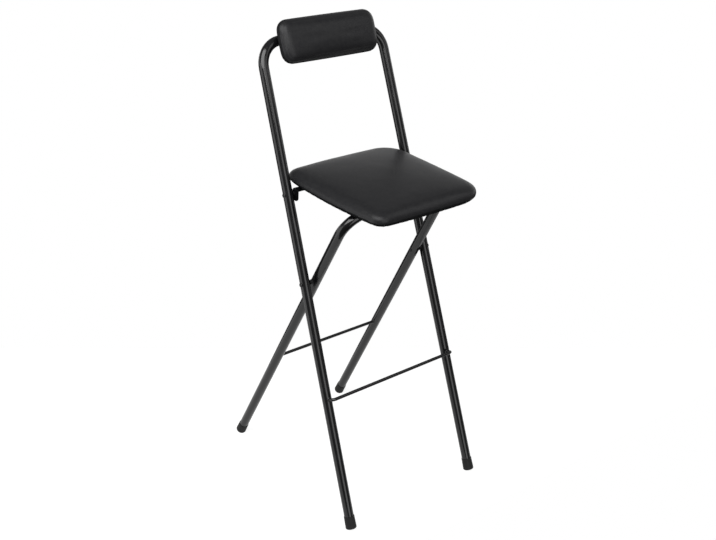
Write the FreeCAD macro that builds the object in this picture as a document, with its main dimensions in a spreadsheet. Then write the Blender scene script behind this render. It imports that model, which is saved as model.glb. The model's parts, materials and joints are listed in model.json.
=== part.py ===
import FreeCAD, Part
import math
import os
import Sketcher

# Folding bar stool. Millimetres, +Z up, the front of the stool towards -Y.
# The origin lies on the floor, under the middle of the open stool.

Vector = FreeCAD.Vector
Rotation = FreeCAD.Rotation
Placement = FreeCAD.Placement

doc = FreeCAD.newDocument("folding_bar_stool")
sheet = doc.addObject("Spreadsheet::Sheet", "Size")

# Driving dimensions. Angles are in degrees.
driving = [
    ("front_tube", 22.0, "outer diameter of the front frame's tube"),
    ("rear_tube", 22.0, "outer diameter of the rear frame's tube"),
    ("tube_wall", 1.2, "wall of both tubes"),
    ("pivot_y", -53.2, "main pivot, where the two frames cross"),
    ("pivot_height", 539.0, "height of the main pivot"),
    ("front_lean", 18.16, "front frame, backwards from upright"),
    ("rear_lean", 30.49, "rear frame, forwards from upright"),
    ("front_half", 173.9, "middle of the stool to the front leg at the pivot"),
    ("rear_half", 143.5, "middle of the stool to the rear leg at the pivot"),
    ("front_splay", 0.97, "front legs spread towards the floor"),
    ("rear_splay", 1.64, "rear legs spread towards the floor"),
    ("front_top", 1036.5, "height of the back crossbar's centre line"),
    ("rear_top", 716.0, "height of the seat crossbar's centre line"),
    ("front_bend", 54.0, "bend radius of the front frame's corners"),
    ("rear_bend", 57.0, "bend radius of the rear frame's corners"),
    ("cap_wall", 1.0, "rubber round the leg's end"),
    ("cap_flare", 0.6, "how much wider a foot cap is at its base"),
    ("cap_base", 4.0, "rubber under the leg's end"),
    ("cap_length", 29.0, "whole length of a foot cap"),
    ("cap_edge", 2.5, "rounding of a foot cap's lower edge"),
    ("cap_flat", 0.6, "how deep the floor flat cuts into a foot cap"),
    ("rod", 7.5, "diameter of the footrest and the stretcher"),
    ("footrest_height", 290.4, "height of the footrest where it meets the legs"),
    ("footrest_reach", 23.8, "footrest in front of the legs' centre lines"),
    ("footrest_bend", 8.0, "bend radius of the footrest's corners"),
    ("stretcher_height", 290.8, "height of the rear stretcher"),
    ("weld_gap", 0.05, "root gap of the stretcher's welds"),
    ("rivet", 6.0, "diameter of the pivot rivets"),
    ("running", 0.1, "clearance on the diameter of a running hole"),
    ("spacer", 12.0, "outer diameter of the spacers at the main pivot"),
    ("side_play", 0.2, "gap at each end of a spacer or washer"),
    ("seat_pivot_height", 727.0, "height of the seat's hinge"),
    ("seat_tilt", 3.9, "seat falls towards the front"),
    ("seat_rise", 12.2, "seat's underside above its hinge"),
    ("seat_rear", 40.5, "seat's rear corners behind its hinge"),
    ("seat_depth", 317.5, "rear corners to front corners"),
    ("seat_rear_half", 151.9, "half the width over the rear corners"),
    ("seat_front_half", 145.4, "half the width over the front corners"),
    ("seat_side_bow", 8.5, "sides bow out between the corners"),
    ("seat_rear_bow", 9.2, "rear edge bows out"),
    ("seat_front_bow", 0.5, "front edge bows out"),
    ("seat_rear_left", 32.0, "plan radius of the rear left corner"),
    ("seat_rear_right", 48.0, "plan radius of the rear right corner"),
    ("seat_front_left", 38.0, "plan radius of the front left corner"),
    ("seat_front_right", 49.0, "plan radius of the front right corner"),
    ("seat_rim", 28.0, "thickness of the seat's rim"),
    ("seat_waist", 16.8, "seat is widest this far above its underside"),
    ("seat_tuck", 19.0, "underside curves up from this far inside the edge"),
    ("seat_crown", 6.0, "rise of the seat's middle over its rim"),
    ("board", 9.0, "plywood of the seat and of the back pad"),
    ("seat_board", 21.0, "seat board's edge inside the seat's outline"),
    ("seat_hem", 30.0, "seat cover is folded under to this far inside its outline"),
    ("pad_board", 9.0, "pad board's edge inside the pad's outline"),
    ("pad_hem", 16.0, "pad cover is folded round to this far inside its outline"),
    ("leatherette", 1.0, "thickness of the covers and linings"),
    ("strip", 2.5, "thickness of the seat bracket"),
    ("strip_width", 19.0, "width of the seat bracket under the board"),
    ("ear_width", 35.0, "width of the bracket's ears"),
    ("ear_drop", 14.0, "ear's lower edge below the hinge"),
    ("ear_corner", 8.0, "rounding of the ear's lower corners"),
    ("washer", 2.0, "washer between the ear and the front leg"),
    ("saddle_x", 45.0, "saddles from the middle of the stool"),
    ("saddle_width", 22.0, "width of a saddle along the crossbar"),
    ("screw", 4.0, "shank diameter of every screw"),
    ("screw_head", 8.0, "head diameter of every screw"),
    ("pad_below", 7.5, "back pad's middle below the crossbar, along the frame"),
    ("pad_half", 128.1, "half the back pad's width"),
    ("pad_half_height", 46.6, "half the back pad's height, along the frame"),
    ("pad_corner", 26.0, "corner radius of the back pad"),
    ("pad_bow", 0.8, "edges of the back pad bow out"),
    ("pad_rim", 27.0, "thickness of the back pad's rim"),
    ("pad_waist", 10.0, "back pad is widest this far in front of its back"),
    ("pad_tuck", 8.0, "back of the pad curves forward from this far inside"),
    ("pad_crown", 4.0, "rise of the back pad's middle over its rim"),
    ("pad_screw_x", 70.0, "back pad's screws from the middle"),
]
for row, (alias, number, note) in enumerate(driving, start=1):
    sheet.set(f"A{row}", note)
    sheet.set(f"B{row}", str(number))
    sheet.setAlias(f"B{row}", alias)
doc.recompute()

size = {alias: number for alias, number, note in driving}
front_angle = math.radians(size["front_lean"])


# The three frames of reference: each tube frame has its origin at the main pivot and
# its Z along the legs, and the seat has its origin at its hinge and its Z square to it.

main_pivot = Vector(0, size["pivot_y"], size["pivot_height"])
front_frame = Placement(main_pivot, Rotation(Vector(1, 0, 0), -size["front_lean"]))
rear_frame = Placement(main_pivot, Rotation(Vector(1, 0, 0), size["rear_lean"]))
hinge_along = (size["seat_pivot_height"] - size["pivot_height"]) / math.cos(front_angle)
seat_hinge = front_frame.multVec(Vector(0, 0, hinge_along))
seat_frame = Placement(seat_hinge, Rotation(Vector(1, 0, 0), size["seat_tilt"]))

# The same lengths as expressions of the sheet, along the legs from the main pivot.
FRONT_TOP = "(Size.front_top - Size.pivot_height) / cos(Size.front_lean)"
REAR_TOP = "(Size.rear_top - Size.pivot_height) / cos(Size.rear_lean)"
HINGE = "(Size.seat_pivot_height - Size.pivot_height) / cos(Size.front_lean)"
FOOTREST = "(Size.footrest_height - Size.pivot_height) / cos(Size.front_lean)"
STRETCHER = "(Size.stretcher_height - Size.pivot_height) / cos(Size.rear_lean)"


def at(frame, x=0.0, y=0.0, z=0.0, turn=None):
    """Placement of a piece at x, y, z of a frame, turned in it if asked."""
    return frame.multiply(Placement(Vector(x, y, z), turn or Rotation()))


def number(expression):
    """Value of an expression of the sheet."""
    return float(sheet.evalExpression(expression))


def make_body(label, placement):
    body = doc.addObject("PartDesign::Body", label)
    body.Label = label
    body.Placement = placement
    return body


def plane_of(body, role):
    return next(item for item in body.Origin.OriginFeatures if item.Role == role)


def make_sketch(body, name, role, along="0"):
    """Sketch on an origin plane of its body, moved along the plane's normal."""
    sketch = body.newObject("Sketcher::SketchObject", name)
    sketch.AttachmentSupport = [(plane_of(body, role), "")]
    sketch.MapMode = "FlatFace"
    if along != "0":
        sketch.setExpression(".AttachmentOffset.Base.z", along)
    return sketch


def hold(sketch, kind, place, expression):
    """Dimension of a sketch bound to the sheet."""
    index = sketch.addConstraint(Sketcher.Constraint(kind, *place, number(expression)))
    sketch.setExpression(f"Constraints[{index}]", expression)


def hold_point(sketch, piece, end, x, y):
    """Point of a sketch held at x, y from its origin."""
    for kind, axis, expression in (("DistanceX", -2, x), ("DistanceY", -1, y)):
        if abs(number(expression)) < 1e-6:
            sketch.addConstraint(Sketcher.Constraint("PointOnObject", piece, end, axis))
        else:
            hold(sketch, kind, (-1, 1, piece, end), expression)


def add_polygon(sketch, corners):
    """Closed outline of straight edges, each corner held by two expressions."""
    points = [Vector(number(x), number(y), 0) for x, y in corners]
    first = sketch.GeometryCount
    count = len(points)
    for index in range(count):
        sketch.addGeometry(Part.LineSegment(points[index], points[(index + 1) % count]), False)
    for index in range(count):
        following = first + (index + 1) % count
        sketch.addConstraint(Sketcher.Constraint("Coincident", first + index, 2, following, 1))
    for index, (x, y) in enumerate(corners):
        hold_point(sketch, first + index, 1, x, y)


def add_circle(sketch, x, y, radius):
    circle = Part.Circle(Vector(number(x), number(y), 0), Vector(0, 0, 1), number(radius))
    index = sketch.addGeometry(circle, False)
    hold(sketch, "Radius", (index,), radius)
    hold_point(sketch, index, 3, x, y)


def add_corner_path(sketch, start_y, end_x, end_y, radius, leg_angle):
    """Half of a bent tube's centre line: a level run from the middle, a bend and a leg.

    The leg's angle is measured from the sketch's X axis, from the bend to the leg's end.
    """
    top = number(start_y)
    foot = Vector(number(end_x), number(end_y), 0)
    bend = number(radius)
    angle = math.radians(number(leg_angle))
    leg = Vector(math.cos(angle), math.sin(angle), 0)
    turn = abs(angle)
    corner = foot - leg * ((foot.y - top) / leg.y)
    trim = bend * math.tan(turn / 2)
    bend_start = corner - Vector(trim, 0, 0)
    bend_end = corner + leg * trim
    side = math.copysign(1.0, angle)
    circle = Part.Circle(bend_start + Vector(0, side * bend, 0), Vector(0, 0, 1), bend)
    level = -side * math.pi / 2
    low = min(level, level + angle)
    sketch.addGeometry(Part.LineSegment(Vector(0, top, 0), bend_start), False)
    sketch.addGeometry(Part.ArcOfCircle(circle, low, low + turn), False)
    sketch.addGeometry(Part.LineSegment(bend_end, foot), False)
    arc_start, arc_end = (1, 2) if side > 0 else (2, 1)
    sketch.addConstraint(Sketcher.Constraint("Tangent", 0, 2, 1, arc_start))
    sketch.addConstraint(Sketcher.Constraint("Tangent", 1, arc_end, 2, 1))
    sketch.addConstraint(Sketcher.Constraint("Horizontal", 0))
    hold(sketch, "Radius", (1,), radius)
    hold_point(sketch, 0, 1, "0", start_y)
    hold_point(sketch, 2, 2, end_x, end_y)
    if abs(abs(number(leg_angle)) - 90) < 1e-6:
        sketch.addConstraint(Sketcher.Constraint("Vertical", 2))
    else:
        index = sketch.addConstraint(Sketcher.Constraint("Angle", 2, angle))
        sketch.setExpression(f"Constraints[{index}]", leg_angle)


def set_tip(body, feature):
    body.Tip = feature
    doc.recompute()
    return feature


def mirrored_pipe(body, profile, path):
    """Tube or rod along half its centre line, doubled by a mirror at the middle."""
    pipe = body.newObject("PartDesign::AdditivePipe", "Pipe")
    pipe.Profile = profile
    pipe.Spine = path
    set_tip(body, pipe)
    mirror = body.newObject("PartDesign::Mirrored", "Mirror")
    mirror.Originals = [pipe]
    mirror.MirrorPlane = (plane_of(body, "YZ_Plane"), [""])
    return set_tip(body, mirror)


def cut_through(body, sketch, depth=None):
    """Cut right through the body or to a depth, and proof that it removes something."""
    before = body.Shape.Volume
    pocket = body.newObject("PartDesign::Pocket", "Cut")
    pocket.Profile = sketch
    if depth is None:
        pocket.Type = "ThroughAll"
        pocket.Midplane = True
    else:
        pocket.setExpression("Length", depth)
    set_tip(body, pocket)
    if body.Shape.Volume >= before:
        raise RuntimeError(f"{body.Label}: {sketch.Name} cuts nothing")
    return pocket


def revolved(label, placement, corners, axis="H_Axis"):
    """Turned piece from the half section that the corners bound."""
    body = make_body(label, placement)
    role = "XY_Plane" if axis == "H_Axis" else "XZ_Plane"
    section = make_sketch(body, "Section", role)
    add_polygon(section, corners)
    turned = body.newObject("PartDesign::Revolution", "Turned")
    turned.Profile = section
    turned.ReferenceAxis = (section, [axis])
    turned.Angle = 360
    set_tip(body, turned)
    return body


def edges_where(feature, test):
    names = []
    for index, edge in enumerate(feature.Shape.Edges, start=1):
        if test(edge):
            names.append(f"Edge{index}")
    return names


def round_edges(body, feature, names, radius):
    fillet = body.newObject("PartDesign::Fillet", "Rounded")
    fillet.Base = (feature, names)
    fillet.setExpression("Radius", radius)
    return set_tip(body, fillet)


# The two tube frames

def leg_x(key, along):
    """Expression: a leg's centre line from the middle, this far along from the pivot."""
    return f"Size.{key}_half - ({along}) * tan(Size.{key}_splay)"


def cap_lift(key):
    """Expression: a foot cap's lower face above the floor, along the leg."""
    radius = f"Size.{key}_tube / 2 + Size.cap_wall + Size.cap_flare - Size.cap_edge"
    return (f"(({radius}) * sin(Size.{key}_lean) + Size.cap_edge - Size.cap_flat)"
            f" / cos(Size.{key}_lean) - Size.cap_edge")


def leg_end(key):
    """Expression: the tube's cut end, along the leg from the pivot."""
    return (f"-Size.pivot_height / cos(Size.{key}_lean) + {cap_lift(key)} + Size.cap_base")


def make_tube_frame(label, key, placement, top, pivots):
    body = make_body(label, placement)
    path = make_sketch(body, "CentreLine", "XZ_Plane")
    add_corner_path(path, top, leg_x(key, leg_end(key)), leg_end(key),
                    f"Size.{key}_bend", f"Size.{key}_splay - 90")
    profile = make_sketch(body, "TubeSection", "YZ_Plane")
    add_circle(profile, "0", top, f"Size.{key}_tube / 2")
    add_circle(profile, "0", top, f"Size.{key}_tube / 2 - Size.tube_wall")
    mirrored_pipe(body, profile, path)
    holes = make_sketch(body, "PivotHoles", "YZ_Plane")
    for along in pivots:
        add_circle(holes, "0", along, "(Size.rivet + Size.running) / 2")
    cut_through(body, holes)
    return body


front_tube = make_tube_frame("front_frame_tube", "front", front_frame, FRONT_TOP, ["0", HINGE])
pad_holes = make_sketch(front_tube, "PadScrewHoles", "XZ_Plane")
for side in ("-", ""):
    add_circle(pad_holes, f"{side}Size.pad_screw_x", FRONT_TOP, "(Size.screw + 0.4) / 2")
cut_through(front_tube, pad_holes)

rear_tube = make_tube_frame("rear_frame_tube", "rear", rear_frame, REAR_TOP, ["0"])

footrest = make_body("footrest_bar", front_frame)
footrest_path = make_sketch(footrest, "CentreLine", "XY_Plane", FOOTREST)
add_corner_path(footrest_path, "-Size.footrest_reach", leg_x("front", FOOTREST),
                "-Size.front_tube / 2", "Size.footrest_bend", "90")
footrest_section = make_sketch(footrest, "RodSection", "YZ_Plane")
add_circle(footrest_section, "-Size.footrest_reach", FOOTREST, "Size.rod / 2")
mirrored_pipe(footrest, footrest_section, footrest_path)

STRETCHER_HALF = f"{leg_x('rear', STRETCHER)} - Size.rear_tube / 2 - Size.weld_gap"
stretcher = doc.addObject("Part::Cylinder", "rear_stretcher")
stretcher.Label = "rear_stretcher"
stretcher.setExpression("Radius", "Size.rod / 2")
stretcher.setExpression("Height", f"2 * ({STRETCHER_HALF})")
stretcher.Placement = at(rear_frame, -number(STRETCHER_HALF), 0, number(STRETCHER),
                         Rotation(Vector(0, 1, 0), 90))


# Rubber foot caps, each with a small flat where it stands on the floor

def make_foot(label, key, frame, side):
    floor_along = -size["pivot_height"] / math.cos(math.radians(size[f"{key}_lean"]))
    floor_x = size[f"{key}_half"] - floor_along * math.tan(math.radians(size[f"{key}_splay"]))
    leg = at(frame, side * floor_x, 0, floor_along,
             Rotation(Vector(0, 1, 0), -side * size[f"{key}_splay"]))
    top = f"Size.{key}_tube / 2 + Size.cap_wall"
    base = f"{top} + Size.cap_flare"
    bore = f"Size.{key}_tube / 2"
    blank = revolved(f"{label}_blank", at(leg, 0, 0, number(cap_lift(key))), [
        ("0", "0"), (base, "0"), (top, "Size.cap_length"), (bore, "Size.cap_length"),
        (bore, "Size.cap_base"), ("0", "Size.cap_base")], "V_Axis")
    turned = blank.Tip
    lower = edges_where(turned, lambda rim: rim.BoundBox.ZMax < 1e-6
                        and rim.BoundBox.XLength > size[f"{key}_tube"])
    round_edges(blank, turned, lower, "Size.cap_edge")
    floor = doc.addObject("Part::Box", f"{label}_floor")
    for direction in ("Length", "Width", "Height"):
        floor.setExpression(direction, "3 * Size.front_tube")
    reach = 1.5 * size["front_tube"]
    floor.Placement = Placement(leg.Base - Vector(reach, reach, 2 * reach), Rotation())
    foot = doc.addObject("Part::Cut", label)
    foot.Label = label
    foot.Base = blank
    foot.Tool = floor
    return foot


# Pivot hardware: rivets from the outside of the front legs inwards

def make_rivet(label, side, along, grip):
    d = "Size.rivet"
    reach = number(leg_x("front", along)) + size["front_tube"] / 2
    turn = Rotation(Vector(0, 0, 1), 0 if side < 0 else 180)
    return revolved(label, at(front_frame, side * reach, 0, number(along), turn), [
        (f"-0.3 * {d}", "0"), (f"-0.3 * {d}", f"0.4 * {d}"), (f"-0.18 * {d}", f"0.75 * {d}"),
        ("0", f"0.9 * {d}"), ("0", f"{d} / 2"), (grip, f"{d} / 2"), (grip, f"0.75 * {d}"),
        (f"{grip} + 0.2 * {d}", f"0.65 * {d}"), (f"{grip} + 0.35 * {d}", f"0.3 * {d}"),
        (f"{grip} + 0.35 * {d}", "0")])


def make_ring(label, side, along, start, length, outer):
    """Spacer or washer on a rivet, from start to start + length from the middle."""
    bore = "(Size.rivet + 3 * Size.running) / 2"
    turn = Rotation(Vector(0, 0, 1), 0 if side > 0 else 180)
    return revolved(label, at(front_frame, side * number(start), 0, number(along), turn), [
        ("0", bore), (length, bore), (length, outer), ("0", outer)])


MAIN_GRIP = ("Size.front_half + Size.front_tube / 2 - Size.rear_half + Size.rear_tube / 2"
             " + Size.side_play")
MAIN_GAP = "Size.front_half - Size.front_tube / 2 - Size.rear_half - Size.rear_tube / 2"
EAR_FACE = f"{leg_x('front', HINGE)} - Size.front_tube / 2 - Size.washer"
HINGE_GRIP = "Size.front_tube + Size.washer + Size.strip"

for side, side_name in ((-1, "left"), (1, "right")):
    make_foot(f"front_foot_{side_name}", "front", front_frame, side)
    make_foot(f"rear_foot_{side_name}", "rear", rear_frame, side)
    make_rivet(f"main_pivot_rivet_{side_name}", side, "0", MAIN_GRIP)
    make_ring(f"main_pivot_spacer_{side_name}", side, "0",
              "Size.rear_half + Size.rear_tube / 2 + Size.side_play",
              f"{MAIN_GAP} - 2 * Size.side_play", "Size.spacer / 2")
    make_rivet(f"seat_pivot_rivet_{side_name}", side, HINGE, HINGE_GRIP)
    make_ring(f"seat_pivot_washer_{side_name}", side, HINGE,
              f"{EAR_FACE} + Size.side_play", "Size.washer - 2 * Size.side_play", "Size.spacer / 2")


# Seat bracket: a strip across under the board, its ends bent down into the hinge ears

bracket = make_body("seat_bracket", seat_frame)
fold = make_sketch(bracket, "FoldedStrip", "XZ_Plane")
EAR_INSIDE = f"{EAR_FACE} - Size.strip"
add_polygon(fold, [
    (f"-({EAR_FACE})", "Size.seat_rise"), (f"-({EAR_FACE})", "-Size.ear_drop"),
    (f"-({EAR_INSIDE})", "-Size.ear_drop"), (f"-({EAR_INSIDE})", "Size.seat_rise - Size.strip"),
    (EAR_INSIDE, "Size.seat_rise - Size.strip"), (EAR_INSIDE, "-Size.ear_drop"),
    (EAR_FACE, "-Size.ear_drop"), (EAR_FACE, "Size.seat_rise")])
folded = bracket.newObject("PartDesign::Pad", "Folded")
folded.Profile = fold
folded.Midplane = True
folded.setExpression("Length", "Size.ear_width")
set_tip(bracket, folded)

# The strip is narrower than the ears, so it is cut back at the rear, with the ears' tops.
trim = make_sketch(bracket, "StripEdge", "XY_Plane", "Size.seat_rise")
STRIP_REAR = "Size.strip_width - Size.ear_width / 2"
STRIP_REACH = f"{EAR_FACE} + Size.strip"
add_polygon(trim, [(f"-({STRIP_REACH})", STRIP_REAR), (STRIP_REACH, STRIP_REAR),
                   (STRIP_REACH, "Size.ear_width"), (f"-({STRIP_REACH})", "Size.ear_width")])
cut_through(bracket, trim, "2 * Size.strip")
screw_holes = make_sketch(bracket, "ScrewHoles", "XY_Plane", "Size.seat_rise")
STRIP_MIDDLE = "(Size.strip_width - Size.ear_width) / 2"
BRACKET_SCREWS = ["-100", "-40", "40", "100"]
for x in BRACKET_SCREWS:
    add_circle(screw_holes, x, STRIP_MIDDLE, "(Size.screw + Size.running) / 2")
cut_through(bracket, screw_holes)
hinge_holes = make_sketch(bracket, "HingeHoles", "YZ_Plane")
add_circle(hinge_holes, "0", "0", "(Size.rivet + Size.running) / 2")
ear_cut = cut_through(bracket, hinge_holes)
ear_corners = edges_where(ear_cut, lambda edge: edge.BoundBox.XLength > 1
                          and edge.BoundBox.YLength + edge.BoundBox.ZLength < 1e-3
                          and edge.BoundBox.ZMax < -size["ear_drop"] + 1e-3)
rounded_ears = round_edges(bracket, ear_cut, ear_corners, "Size.ear_corner")
bend_edges = edges_where(rounded_ears, lambda edge: edge.BoundBox.YLength > size["strip_width"] - 1
                         and edge.BoundBox.XLength + edge.BoundBox.ZLength < 1e-3
                         and edge.BoundBox.ZMin > size["seat_rise"] - 1e-3)
round_edges(bracket, rounded_ears, bend_edges, "Size.strip")


# Saddles under the board: their front lip stops the crossbar from sliding forwards

crossbar = rear_frame.multVec(Vector(0, 0, number(REAR_TOP)))
in_seat = seat_frame.inverse().multVec(crossbar)
saddle_play = 0.35
front_lip = 7.0
rear_lip = 3.0
flange = 3.0
saddle_half = 14.5
flange_half = 26.0
saddle_screw_y = (6 - flange_half, flange_half - 6)


def make_saddle(label, side):
    recess = size["rear_tube"] / 2 + saddle_play
    rise = size["seat_rise"]
    corners = [(-flange_half, rise), (flange_half, rise), (flange_half, rise - flange),
               (saddle_half, rise - flange), (saddle_half, in_seat.z + rear_lip),
               (0, in_seat.z + rear_lip), (0, in_seat.z - front_lip),
               (-saddle_half, in_seat.z - front_lip), (-saddle_half, rise - flange),
               (-flange_half, rise - flange)]
    width = size["saddle_width"]
    middle = side * size["saddle_x"]
    start = middle - width / 2
    points = [Vector(start, in_seat.y + y, z) for y, z in corners]
    profile = Part.Face(Part.makePolygon(points + [points[0]]))
    block = profile.extrude(Vector(width, 0, 0))
    groove = Part.makeCylinder(recess, width, Vector(start, in_seat.y, in_seat.z),
                               Vector(1, 0, 0))
    block = block.cut(groove)
    for y in saddle_screw_y:
        hole = Part.makeCylinder((size["screw"] + size["running"]) / 2, 4 * flange,
                                 Vector(middle, in_seat.y + y, rise - 2 * flange))
        block = block.cut(hole)
    saddle = doc.addObject("Part::Feature", label)
    saddle.Shape = block
    saddle.Placement = seat_frame
    return saddle


make_saddle("seat_saddle_left", -1)
make_saddle("seat_saddle_right", 1)


# Screws: a pan head with a cross recess, and a shank with a short point

slot_length = 4.4
slot_width = 0.9
slot_depth = 0.9


def screw_shape(head_seat, direction, grip):
    """One screw, its head outside head_seat and its shank along direction."""
    shank = size["screw"] / 2
    head = size["screw_head"] / 2
    point = 2.0
    head_height = 1.5
    half = [(-head_height, 0), (-head_height, 0.6 * head), (-0.5 * head_height, 0.95 * head),
            (0, head), (0, shank), (grip - point, shank), (grip, 0.4), (grip, 0)]
    points = [Vector(radius, 0, along) for along, radius in half]
    face = Part.Face(Part.makePolygon(points + [points[0]]))
    solid = face.revolve(Vector(), Vector(0, 0, 1), 360)
    for turn in (0, 90):
        slot = Part.makeBox(slot_length, slot_width, 2 * slot_depth)
        slot.translate(Vector(-slot_length / 2, -slot_width / 2, -head_height - slot_depth))
        slot.rotate(Vector(), Vector(0, 0, 1), turn)
        solid = solid.cut(slot)
    solid.Placement = Placement(head_seat, Rotation(Vector(0, 0, 1), direction))
    return solid


def make_screws(label, frame, seats, direction, grip):
    screws = doc.addObject("Part::Feature", label)
    screws.Shape = Part.makeCompound([screw_shape(seat, direction, grip) for seat in seats])
    screws.Placement = frame
    return screws


board_bottom = size["seat_rise"] + size["leatherette"]
bite = 7.0
bracket_seats = [Vector(float(x), number(STRIP_MIDDLE), size["seat_rise"] - size["strip"])
                 for x in BRACKET_SCREWS]
saddle_seats = [Vector(side * size["saddle_x"], in_seat.y + y, size["seat_rise"] - flange)
                for side in (-1, 1) for y in saddle_screw_y]
up = Vector(0, 0, 1)
make_screws("seat_bracket_screws", seat_frame, bracket_seats, up,
            size["strip"] + size["leatherette"] + bite)
make_screws("seat_saddle_screws", seat_frame, saddle_seats, up,
            flange + size["leatherette"] + bite)


# Upholstery: a plan outline of bowed sides and round corners, lofted through its levels

def bowed_outline(corners, bows, radii, place):
    """Closed wire of four bowed sides with tangent round corners, corners anticlockwise."""
    rounds = []
    for index in range(4):
        start = corners[index]
        end = corners[(index + 1) % 4]
        chord = end - start
        bow = bows[index]
        radius = ((chord.Length / 2) ** 2 + bow ** 2) / (2 * bow)
        outward = Vector(chord.y, -chord.x, 0).normalize()
        rounds.append(((start + end) * 0.5 + outward * (bow - radius), radius, outward))
    centres = []
    for index in range(4):
        first, first_radius, _ = rounds[index - 1]
        second, second_radius, _ = rounds[index]
        reach_first = first_radius - radii[index]
        reach_second = second_radius - radii[index]
        span = second - first
        along = (reach_first ** 2 - reach_second ** 2 + span.Length ** 2) / (2 * span.Length)
        across = math.sqrt(reach_first ** 2 - along ** 2)
        unit = Vector(span).normalize()
        normal = Vector(-unit.y, unit.x, 0)
        choices = [first + unit * along + normal * (sign * across) for sign in (-1, 1)]
        centres.append(min(choices, key=lambda point: (point - corners[index]).Length))
    edges = []
    for index in range(4):
        centre, radius, outward = rounds[index]
        following = (index + 1) % 4
        start = centre + (centres[index] - centre).normalize() * radius
        end = centre + (centres[following] - centre).normalize() * radius
        edges.append(Part.Arc(place(start), place(centre + outward * radius), place(end)))
        next_centre, next_radius, _ = rounds[following]
        leave = next_centre + (centres[following] - next_centre).normalize() * next_radius
        middle = (end - centres[following]).normalize() + (leave - centres[following]).normalize()
        bulge = centres[following] + middle.normalize() * radii[following]
        edges.append(Part.Arc(place(end), place(bulge), place(leave)))
    return Part.Wire([edge.toShape() for edge in edges])


def rim_profile(key, reach):
    """Half section of a cushion as (inset, level): a tucked foot, a round rim and a crown."""
    waist = size[f"{key}_waist"]
    tuck = size[f"{key}_tuck"]
    shoulder = size[f"{key}_rim"] - waist
    lower = [(tuck * (1 - math.cos(angle)), waist - waist * math.sin(angle))
             for angle in (math.radians(step) for step in (90, 70, 50, 25))]
    upper = [(shoulder * (1 - math.cos(angle)), waist + shoulder * math.sin(angle))
             for angle in (math.radians(step) for step in (0, 25, 45, 62))]
    start_inset, start_level = upper[-1]
    peak = size[f"{key}_rim"] + size[f"{key}_crown"]
    dome = []
    for share in (0.06, 0.15, 0.3, 0.55, 0.9):
        inset = start_inset + (reach - start_inset) * share
        rise = 1 - (1 - share) ** 2.4
        dome.append((inset, start_level + (peak - start_level) * rise))
    return lower + upper + dome


def shrink(profile, depth):
    """The same half section, moved inwards by the thickness of the cover."""
    moved = []
    for index, (inset, level) in enumerate(profile):
        before = profile[max(index - 1, 0)]
        after = profile[min(index + 1, len(profile) - 1)]
        run = after[0] - before[0]
        rise = after[1] - before[1]
        length = math.hypot(run, rise)
        moved.append((inset + depth * rise / length, level - depth * run / length))
    moved[0] = (moved[1][0] + (moved[0][0] - moved[1][0]), depth)
    return moved


def loft_form(outline_at, profile):
    """Solid through one outline for each level of the half section."""
    return Part.makeLoft([outline_at(inset, level) for inset, level in profile], True, True)


def seat_outline(inset, level):
    rear = size["seat_rear"]
    front = rear - size["seat_depth"]
    rear_half = size["seat_rear_half"]
    front_half = size["seat_front_half"]
    shrunk = 1 - inset / (size["seat_depth"] / 2)
    corners = [Vector(-(front_half - inset), front + inset, 0),
               Vector(front_half - inset, front + inset, 0),
               Vector(rear_half - inset, rear - inset, 0),
               Vector(-(rear_half - inset), rear - inset, 0)]
    bows = [size["seat_front_bow"] * shrunk, size["seat_side_bow"] * shrunk,
            size["seat_rear_bow"] * shrunk, size["seat_side_bow"] * shrunk]
    radii = [max(size[f"seat_{corner}"] - 0.6 * inset, 6.0)
             for corner in ("front_left", "front_right", "rear_right", "rear_left")]
    height = size["seat_rise"] + level
    return bowed_outline(corners, bows, radii, lambda point: Vector(point.x, point.y, height))


def pad_outline(inset, level):
    half = size["pad_half"] - inset
    half_height = size["pad_half_height"] - inset
    middle = number(FRONT_TOP) - size["pad_below"]
    corners = [Vector(half, -half_height, 0), Vector(half, half_height, 0),
               Vector(-half, half_height, 0), Vector(-half, -half_height, 0)]
    bows = [size["pad_bow"] * (1 - inset / size["pad_half_height"])] * 4
    radii = [max(size["pad_corner"] - 0.6 * inset, 3.0)] * 4
    depth = -(size["front_tube"] / 2 + level)
    return bowed_outline(corners, bows, radii,
                         lambda point: Vector(point.x, depth, middle + point.y))


def prism(outline_at, inset, bottom, top):
    return Part.makeLoft([outline_at(inset, bottom), outline_at(inset, top)], True, True)


def upholster(prefix, frame, outline_at, profile, board_inset, hem, holes):
    """Board, foam, cover and lining of one cushion, with screw holes in the board."""
    skin = size["leatherette"]
    outer = loft_form(outline_at, profile)
    inner = loft_form(outline_at, shrink(profile, skin))
    opening = prism(outline_at, hem, -skin, 2 * skin)
    board = prism(outline_at, board_inset, skin, skin + size["board"])
    play = 0.05
    board_space = prism(outline_at, board_inset - play, -skin, skin + size["board"] + play)
    lining = prism(outline_at, hem + play, 0, skin - play)
    for hole in holes:
        board = board.cut(hole)
        lining = lining.cut(hole)
    foam = loft_form(outline_at, shrink(profile, skin + play)).cut(board_space)
    cover = outer.cut(inner).cut(opening)
    for name, shape in (("board", board), ("foam", foam), ("cover", cover), ("lining", lining)):
        piece = doc.addObject("Part::Feature", f"{prefix}_{name}")
        piece.Shape = shape
        piece.Placement = frame


def hole_at(point, direction, length):
    return Part.makeCylinder((size["screw"] + size["running"]) / 2, length, point, direction)


seat_holes = [hole_at(Vector(seat.x, seat.y, 0), up, size["seat_rise"] + 2 * bite)
              for seat in bracket_seats + saddle_seats]
upholster("seat", seat_frame, seat_outline,
          rim_profile("seat", 120.0), size["seat_board"], size["seat_hem"], seat_holes)

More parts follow.
